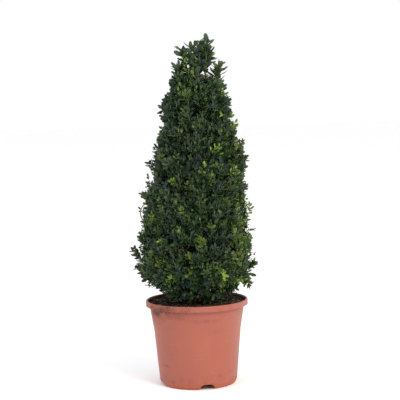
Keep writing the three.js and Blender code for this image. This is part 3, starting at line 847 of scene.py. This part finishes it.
def spray(start, knee, tip, lit, pairs, first, spread, longest, shape, last=0.66):
    # a leafy shoot: pairs of opposite leaves along its curve, each pair a quarter turn from the last; a leaf
    # points along cos(angle) ahead + sin(angle) out, and the angle closes up towards the tip
    count = len(tip)
    t = mix(first, 1, np.linspace(0, 1, pairs) ** 0.9) + random.normal(0, 0.014, (count, pairs))
    t = np.clip(t, 0.03, 1)
    a, b, c = start[:, None], knee[:, None], tip[:, None]
    place, ahead = bend(a, b, c, t), bendSlope(a, b, c, t)
    level = np.cross(ahead, upward + 0.01)
    sideA = unit(level - (level * ahead).sum(-1, keepdims=True) * ahead)
    sideB = np.cross(ahead, sideA)
    turn = random.uniform(0, math.pi, (count, 1)) + np.arange(pairs) * math.pi / 2
    turn = turn + random.normal(0, 0.3, (count, pairs))
    out = np.cos(turn)[..., None] * sideA + np.sin(turn)[..., None] * sideB
    both = np.stack([out, -out], 2)  # the two leaves of a pair
    share = np.linspace(0, 1, pairs)[None, :, None]
    closing = mix(1.12, 0.52 if last < 0.8 else 0.8, share**1.6)  # a tip with large last leaves stays open
    angle = np.radians(spread * closing + random.normal(0, 10, (count, pairs, 2)))
    along = np.sin(angle)[..., None] * both + np.cos(angle)[..., None] * ahead[:, :, None]
    facing = 0.9 * ahead[:, :, None] + lit[:, None, None] + random.normal(0, 0.4, both.shape)
    grown = mix(0.8, 1.0, np.clip(share * 2.5, 0, 1)) * mix(1.0, last, np.clip(share * 2 - 1, 0, 1) ** 1.5)
    length = longest[:, None, None] * grown * random.uniform(0.8, 1.15, (count, pairs, 2))
    width = length * random.uniform(*shape, (count, pairs, 2))
    base = np.repeat(place[:, :, None], 2, 2)
    return base, along, facing, length, width, np.broadcast_to(share, length.shape)


def branches(start, knee, end, thick, thin, sides, steps):
    # tubes along quadratic curves, whose radius goes evenly from thick to thin
    t = np.linspace(0, 1, steps)
    count = len(start)
    paths = bend(start[:, None], knee[:, None], end[:, None], np.tile(t, (count, 1)))
    return tubes(paths, np.tile(mix(thick, thin, t), (count, 1)), sides)


toneShares = {  # of mature sprays; the rest of the leaf tones are for young ones and for the backs
    "LeafBluish": 0.13,
    "LeafDeep": 0.2,
    "LeafDark": 0.28,
    "LeafGreen": 0.23,
    "LeafMid": 0.12,
    "LeafOlive": 0.04,
}


def dealTones(points, fresh, shaded):
    # a tone for each spray: a chance from 0 to 1 picks it from the shares, moved on by smooth patches and by
    # the
    # side as painted light: yellower and lighter towards the lit +X side, bluer towards -X as painted sky
    # reflection, more so further out; young growth has its own chance
    names, share = np.array(list(toneShares)), np.array(list(toneShares.values()))
    dice = random.uniform(size=len(points)) + 0.1 * smoothField(points, 90 * mm, 77)
    outward = np.clip(np.hypot(points[:, 0], points[:, 1]) / (80 * mm), 0, 1) ** 2
    side = radial(points)[:, 0]
    dice = np.clip(dice + outward * (0.07 * side + 0.2 * np.clip(side, 0, 1) ** 5), 0, 0.999)
    tone = names[np.searchsorted(np.cumsum(share), dice * 0.9999)]
    young = random.uniform(size=len(points)) < fresh
    tone = np.where(young, np.where(random.uniform(size=len(points)) < 0.62, "LeafLime", "LeafYoung"), tone)
    # the shaded sprays inside the crown take the deep and dark tones: painted shade
    tone = np.where(shaded, np.where(dice < 0.5, "LeafDeep", "LeafDark"), tone)
    young = np.logical_and(young, np.logical_not(shaded))
    order = {name: i for i, name in enumerate(leafTones)}
    return np.array([order[name] for name in tone]), young


def growMass(node):
    # tips stand on the solid's surface, sunk by tipInset and moved by clumps, chance and strays; shoots lead
    # back from them, then twigs to groups of shoots, and boughlets from the limb's end to groups of twigs
    p = growth
    outer, outerNormals = surfacePoints(node, p["areaPerShoot"])
    inner, innerNormals = surfacePoints(node, p["areaPerShoot"] / p["innerShare"], 0.25)
    tips, normals = np.concatenate([outer, inner]), np.concatenate([outerNormals, innerNormals])
    shaded = np.arange(len(tips)) >= len(outer)
    bare = p["footGaps"] * np.clip((crownFoot + 50 * mm - tips[:, 2]) / (50 * mm), 0, 1)
    bare = bare * np.clip(1.4 - np.abs(tips[:, 0]) / (60 * mm), 0, 1)
    bare = bare + p["topGaps"] * np.clip((tips[:, 2] - crownTop + 115 * mm) / (50 * mm), 0, 1)
    grown = random.uniform(size=len(tips)) > bare
    tips, normals, shaded = tips[grown], normals[grown], shaded[grown]
    count = len(tips)
    limb, _, girth = boughEnds[node]
    high = heightShare(tips)[:, None]
    away = radial(tips - np.array([0.012, 0, 0]) * high)
    swell = p["clumpSwell"] * smoothField(tips, p["clumpSize"], 91)[:, None]
    stray = random.uniform(size=(count, 1)) < p["strayShare"] * (1 + high)
    proud = swell - p["tipInset"] * mix(1.1, 0.75, high) + random.normal(0, p["tipUneven"], (count, 1))
    proud = proud + stray * random.uniform(*p["strayReach"], (count, 1))
    proud = np.where(shaded[:, None], -random.uniform(26, 40, (count, 1)) * mm, proud)
    tips = tips + normals * proud
    rising = mix(0.45, 1.35, high) * np.where(high < 0.12, 0.5, 1)
    heading = unit(away * mix(0.95, 0.42, high) + upward * rising + random.normal(0, 0.25, (count, 3)))
    heading = unit(heading + 0.7 * normals * (normals[:, 2:] < -0.25))
    reach = random.uniform(*p["shootLength"], (count, 1)) * np.where(shaded[:, None], 0.6, 1)
    knees = tips - heading * reach * 0.6 + random.normal(0, 1.5 * mm, (count, 3))
    twigCount = max(2, count // p["shootsPerTwig"])
    group, twigEnds = gather(tips - heading * reach, twigCount, limb, 0.12)
    boughCount = max(1, twigCount // p["twigsPerBough"])
    branch, boughletEnds = gather(twigEnds, boughCount, limb, 0.35)
    limbs = np.repeat(limb[None], boughCount, 0)
    span = np.linalg.norm(boughletEnds - limbs, axis=1, keepdims=True)
    boughletKnees = mix(limbs, boughletEnds, 0.5) + upward * 0.12 * span
    leaveAt = random.uniform(0.5, 1, twigCount)
    twigStarts = bend(limbs[branch], boughletKnees[branch], boughletEnds[branch], leaveAt)
    twigKnees = mix(twigStarts, twigEnds, 0.55) + random.normal(0, 2.5 * mm, (twigCount, 3))
    sproutAt = random.uniform(0.35, 1, count)
    starts = bend(twigStarts[group], twigKnees[group], twigEnds[group], sproutAt)
    wood = joinParts(
        [
            branches(limbs, boughletKnees, boughletEnds, girth * 0.8, 1.0 * mm, 6, 8),
            branches(twigStarts, twigKnees, twigEnds, 1.0 * mm, 0.6 * mm, 5, 5),
        ]
    )
    green = branches(starts, knees, tips, 0.65 * mm, 0.35 * mm, 4, 6)
    lit = 0.7 * unit(0.7 * away + 0.6 * upward + 0.4 * normals)
    longest = random.uniform(*p["leafLength"], count) * mix(1.0, p["topLonger"], high[:, 0])
    longest = longest * np.where(shaded, 1.35, 1)
    leaves = spray(starts, knees, tips, lit, p["pairs"], p["firstPair"], p["spread"], longest, p["leafShape"])
    # more young lime shoots towards the lit +X side: partly real growth, partly painted light
    right = np.clip(tips[:, 0] / 0.1, -1, 1)
    fresh = np.clip(0.03 + 0.035 * right + 0.035 * smoothField(tips, 70 * mm, 13), 0.005, 1)
    fresh = fresh + 0.02 * stray[:, 0]
    tone, young = dealTones(tips, fresh, shaded)
    return wood, green, [(leaves, tone, young)]


plumes = {
    "tip": {
        "pairs": 10,
        "first": 0.08,
        "leafLength": (24 * mm, 28 * mm),
        "leafShape": (0.36, 0.45),
        "spread": 46,
        "sides": 2,
        "lit": 0.5,
    },
    "stray": {
        "pairs": 7,
        "first": 0.22,
        "leafLength": (13 * mm, 17 * mm),
        "leafShape": (0.42, 0.52),
        "spread": 54,
        "sides": 2,
        "lit": 0.8,
    },
}
plumes["leader"] = dict(plumes["tip"], sides=7)  # the tallest tip branches more


def growPlume(node, p):
    # one shoot along the middle of its solid, foot + axis far, and side shoots that leave its lower half,
    # each a golden angle round from the last and leaning out by 0.36 of its way up
    line, _ = middleLine(node, 4)
    foot, point = line[0], line[-1]
    verts, _ = nodeMesh(node)
    if node.startswith("stray"):  # a stray points away from the axis
        order = np.argsort(np.linalg.norm(line[:, :2], axis=1))
        foot, point = line[order[0]], line[order[-1]]
    axis = unit(point - foot)
    far = ((verts - foot) @ axis).max()
    longest = random.uniform(*p["leafLength"], 1 + p["sides"])
    tip = foot + axis * (far - 0.8 * longest[0])
    start = foot - axis * 14 * mm
    knee = mix(start, tip, 0.5) + random.normal(0, 2.5 * mm, 3)
    at = np.linspace(0.12, 0.58, p["sides"])
    sideStart = bend(start, knee, tip, at)
    turn = random.uniform(0, 2 * math.pi) + np.arange(p["sides"]) * 2.4
    around = np.stack([np.cos(turn), np.sin(turn), np.zeros(p["sides"])], -1)
    reach = far * random.uniform(0.36, 0.56, (p["sides"], 1))
    sideTip = sideStart + unit(axis + 0.36 * around) * reach
    sideKnee = mix(sideStart, sideTip, 0.5) + around * 2 * mm
    starts = np.concatenate([start[None], sideStart])
    knees = np.concatenate([knee[None], sideKnee])
    tips = np.concatenate([tip[None], sideTip])
    wood = branches(starts[:1], knees[:1], tips[:1], 1.3 * mm, 0.5 * mm, 6, 8)
    green = branches(starts[1:], knees[1:], tips[1:], 0.8 * mm, 0.4 * mm, 5, 8)
    lit = p["lit"] * unit(0.5 * radial(tips) + upward)
    spread, shape = p["spread"], p["leafShape"]
    lead = [part[:1] for part in (starts, knees, tips, lit)]
    rest = [part[1:] for part in (starts, knees, tips, lit)]
    main = spray(*lead, p["pairs"], p["first"], spread, longest[:1], shape, 0.92)
    side = spray(*rest, 5, 0.3, spread, longest[1:] * 0.82, shape, 0.85)
    fresh = np.full(1 + p["sides"], 0.05)
    tone, young = dealTones(tips, fresh, False)
    return wood, green, [(main, tone[:1], young[:1]), (side, tone[1:], young[1:])]


def leafBlades(leaves, tone, young, missing=0.05):
    # the leaves of many sprays as blade points with their upper and under tones; a few have dropped
    base, along, facing, length, width, share = leaves
    shape, number = length.shape, leafTones.index
    tone = np.broadcast_to(tone[:, None, None], shape).copy()
    # the older leaves low on a fresh shoot are green again, and some tips of plain shoots are paler
    tone[(share < 0.4) & young[:, None, None]] = number("LeafMid")
    pale = (share > 0.75) & (random.uniform(size=shape) < 0.1) & ~young[:, None, None]
    tone[pale] = number("LeafOlive")
    tone[random.uniform(size=shape) < 0.0018] = number("LeafBronze")  # about one leaf in 550
    back = np.where(tone >= number("LeafMid"), number("LeafBackPale"), number("LeafBackDark"))
    kept = random.uniform(size=shape) > missing
    flat = [v[kept] for v in (base, along, facing, length, width)]
    count = len(flat[3])
    cup, arch = random.uniform(0.06, 0.2, count), random.uniform(-0.03, 0.16, count)
    return blades(*flat, cup, arch, random.normal(0, 0.3, count)), tone[kept], back[kept]


def makeLeaves(name, batches, *nodes):
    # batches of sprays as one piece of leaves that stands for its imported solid
    made = [leafBlades(*batch) for batch in batches]
    points, tone, back = [np.concatenate(part) for part in zip(*made)]
    return keep(leafPiece(name, points, tone, back), "foliage", *nodes)


def makeTwigs(name, wood, green, *nodes):
    # last year's wood and this year's green shoots as one piece; faces after the wood's own are green
    verts, quads, tris = joinParts([wood, green])
    slots = np.concatenate([np.arange(len(quads)) >= len(wood[1]), np.arange(len(tris)) >= len(wood[2])])
    return keep(makePiece(name, verts, quads, tris, twigMaterials, slots.astype(int)), "bark", *nodes)


bareTwig = {  # one bare twig that arches out of the left side and back
    "points": [(-0.097, -0.012, 0.344), (-0.139, -0.018, 0.384), (-0.098, -0.010, 0.404)],
    "thick": 1.4 * mm,
    "thin": 1.0 * mm,
}


def makeFoliage():
    # each mass, tip and stray grows its own leaves; their wood is gathered into one piece for each tier
    total = 0
    twigs = {name: [] for name in tierNames + ["tips", "strays"]}
    for node in sorted(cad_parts):
        kind = node.split("_")[0]
        if kind == "foliage":
            wood, green, batches = growMass(node)
            home = node.split("_")[1]
        elif kind in plumes:
            wood, green, batches = growPlume(node, plumes.get(node.split("_")[1], plumes[kind]))
            home = kind + "s"
        else:
            continue
        piece = makeLeaves("leaves_" + node.replace("foliage_", ""), batches, node)
        total += len(piece.data.polygons)
        twigs[home].append((wood, green))
    loop = np.array(bareTwig["points"])[:, None]
    noShoots = (np.zeros((0, 3)), np.zeros((0, 4), int), np.zeros((0, 3), int))
    twigs["strays"].append((branches(*loop, bareTwig["thick"], bareTwig["thin"], 6, 14), noShoots))
    for name, parts in twigs.items():
        makeTwigs("twigs_" + name, joinParts([w for w, _ in parts]), joinParts([g for _, g in parts]))
    print("crown made,", total, "leaf faces")


makeFoliage()

footShape = {
    "stems": 22,
    "stemReach": (30 * mm, 80 * mm),
    "stemTop": (26 * mm, 50 * mm),
    "shoots": 70,
    "deadTwigs": 44,
    "leafLength": (11 * mm, 15 * mm),
}


def makeFoot(p):
    # thin stems that rise from the compost round the trunk into the skirt, each a quadratic curve a golden
    # angle round from the last, with a few leafy shoots and bare dead twigs between them
    count = p["stems"]
    turn = np.arange(count) * 2.4 + random.normal(0, 0.3, count)
    ray = np.stack([np.cos(turn), np.sin(turn), np.zeros(count)], -1)
    foot = ray * random.uniform(10, 34, (count, 1)) * mm + upward * (soilHigh[2] - 3 * mm)
    top = ray * random.uniform(*p["stemReach"], (count, 1)) + upward * soilHigh[2]
    top = top + upward * random.uniform(*p["stemTop"], (count, 1))
    knee = mix(foot, top, 0.35) + upward * 12 * mm
    stems = branches(foot, knee, top, 2.2 * mm, 1.2 * mm, 8, 12)
    pick = random.integers(0, count, p["shoots"])
    start = bend(foot[pick], knee[pick], top[pick], random.uniform(0.25, 0.95, len(pick)))
    way = ray[pick] * 0.8 + random.normal(0, 0.7, (len(pick), 3)) * np.array([1, 1, 0.4]) + upward * 0.25
    end = start + unit(way) * random.uniform(16, 34, (len(pick), 1)) * mm
    end[:, 2] = np.clip(end[:, 2], soilHigh[2] + 3 * mm, crownFoot + 40 * mm)
    middle = mix(start, end, 0.5) + upward * 1.5 * mm
    green = branches(start, middle, end, 0.6 * mm, 0.35 * mm, 4, 5)
    dead = p["deadTwigs"]
    pick = random.integers(0, count, dead)
    deadStart = bend(foot[pick], knee[pick], top[pick], random.uniform(0.1, 0.7, dead))
    deadEnd = deadStart + unit(ray[pick] + random.normal(0, 0.8, (dead, 3)) * [1, 1, 0.5]) * 26 * mm
    deadEnd[:, 2] = np.maximum(deadEnd[:, 2], soilHigh[2] + 2 * mm)
    deadKnee = mix(deadStart, deadEnd, 0.5) + random.normal(0, 2, (dead, 3)) * mm
    deadTwigs = branches(deadStart, deadKnee, deadEnd, 0.7 * mm, 0.3 * mm, 4, 5)
    makeTwigs("twigs_foot", joinParts([stems, deadTwigs]), green)
    lit = unit(radial(end) * 0.6 + upward)
    longest = random.uniform(*p["leafLength"], p["shoots"])
    leaves = spray(start, middle, end, lit, 4, 0.2, 60, longest, growth["leafShape"])
    tone, young = dealTones(end, np.full(p["shoots"], 0.03), False)
    makeLeaves("leaves_foot", [(leaves, tone, young, 0.2)])


makeFoot(footShape)
print("foot made")


def makeFloor():
    # white painted floor: one square, wide enough to fill the view
    material, tree, shader = newMaterial("WhiteFloor", **{"Base Color": colour("#fefefe"), "Roughness": 0.9})
    side = 40.0
    verts = [(-side, -side, 0), (side, -side, 0), (side, side, 0), (-side, side, 0)]
    makePiece("floor", verts, [(0, 1, 2, 3)], [], [material])


def makeLight(name, place, aim, size, power, shade):
    # a round soft light turned to face a point
    data = bpy.data.lights.new(name, "AREA")
    data.shape = "DISK"
    data.size = size
    data.energy = power
    data.color = colour(shade)[:3]
    light = bpy.data.objects.new(name, data)
    light.location = place
    light.rotation_euler = (Vector(aim) - Vector(place)).to_track_quat("-Z", "Y").to_euler()
    bpy.context.scene.collection.objects.link(light)


lights = {  # place, the point it faces, diameter, power in watts, colour
    "KeyLight": ((2.6, -3.4, 3.3), (0, 0, 0.4), 2.2, 165, "#fff6ea"),
    "SkyLight": ((-1.6, -0.4, 2.8), (0, 0, 0.5), 1.6, 14, "#dbe7ff"),
}
view = {  # metres and degrees, and the lens in millimetres
    "distance": 2.5,
    "aside": 0.0125,
    "height": 0.60,
    "pitch": 4.5,
    "roll": 1.4,
    "lens": 103,
}


def makeCamera(p):
    # in front at the height of the crown's head, turned down by pitch, then rolled about its line of sight
    data = bpy.data.cameras.new("Camera")
    data.lens = p["lens"]
    data.sensor_width = 36
    camera = bpy.data.objects.new("Camera", data)
    camera.location = (p["aside"], -p["distance"], p["height"])
    tilt = Euler((math.radians(90 - p["pitch"]), 0, 0)).to_matrix()
    lean = Matrix.Rotation(math.radians(-p["roll"]), 3, "Z")
    camera.rotation_euler = (tilt @ lean).to_euler()
    bpy.context.scene.collection.objects.link(camera)
    bpy.context.scene.camera = camera


def makeWorld(strength):
    # even white light from all round
    world = bpy.data.worlds.new("Studio")
    world.use_nodes = True
    background = world.node_tree.nodes["Background"]
    background.inputs["Color"].default_value = (1, 1, 1, 1)
    background.inputs["Strength"].default_value = strength
    bpy.context.scene.world = world


makeFloor()
for name, light in lights.items():
    makeLight(name, *light)
makeWorld(1.0)
bpy.context.scene.view_settings.view_transform = "Standard"
makeCamera(view)
print("stage made")
